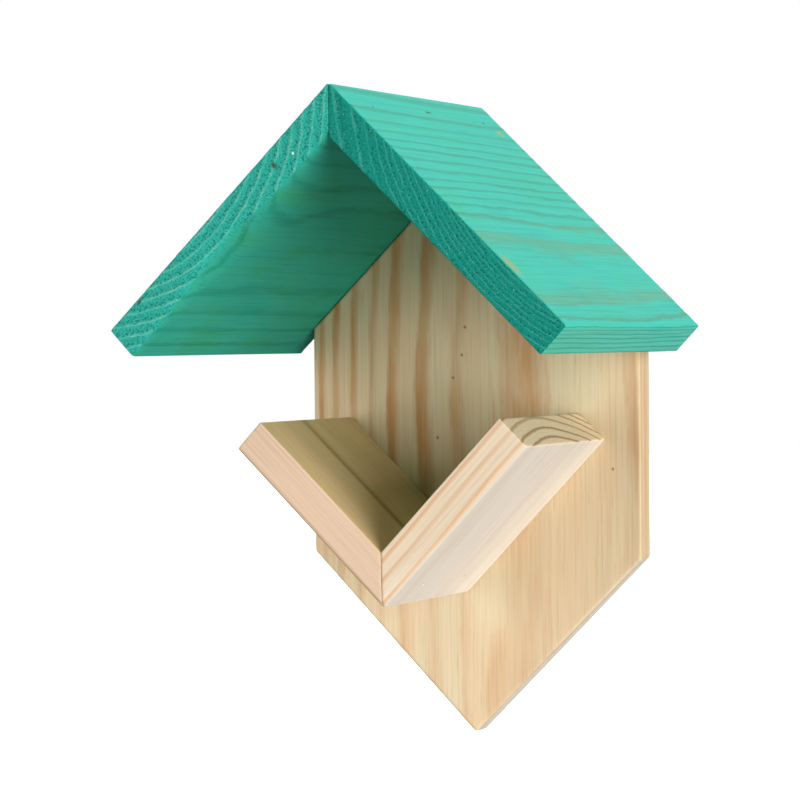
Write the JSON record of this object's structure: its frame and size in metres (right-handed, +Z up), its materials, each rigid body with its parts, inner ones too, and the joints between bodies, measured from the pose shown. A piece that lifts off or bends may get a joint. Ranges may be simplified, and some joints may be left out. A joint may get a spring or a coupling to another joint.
{
  "type": "wall-hung bird feeder",
  "caption": "Wooden bird feeder for a wall or post: gabled stained roof over a V-shaped cradle for a food jar or fat block, on a pointed pine back board.",
  "frame": {"origin": "centre of the keyhole's round hole, on the wall face of the back board", "axes": "+Z up, +Y into the wall, so the front faces -Y; +X to the right seen from the front"},
  "size_m": [0.219, 0.164, 0.2993],
  "materials": {
    "pine_back": "planed pine with a clear satin oil",
    "pine_arms": "planed pine with a clear satin oil",
    "stained_roof": "turquoise stain, satin, grain showing",
    "hanger_plate": "bright zinc plate",
    "screws": "bright zinc plate",
    "brads": "bare steel wire"
  },
  "bodies": {
    "root": {"back_board": "pine_back", "roof_board_left": "stained_roof", "roof_board_right": "stained_roof", "holder_arm_left": "pine_arms", "holder_arm_right": "pine_arms", "hanger_plate": "hanger_plate", "hanger_screw_upper": "screws", "hanger_screw_lower": "screws", "holder_screw_left_lower": "screws", "holder_screw_left_upper": "screws", "holder_screw_right_lower": "screws", "holder_screw_right_upper": "screws", "ridge_brad_front": "brads", "ridge_brad_rear": "brads", "holder_brad_front": "brads", "holder_brad_rear": "brads", "gable_brad_left_lower": "brads", "gable_brad_left_upper": "brads", "gable_brad_right_lower": "brads", "gable_brad_right_upper": "brads"}
  },
  "joints": []
}
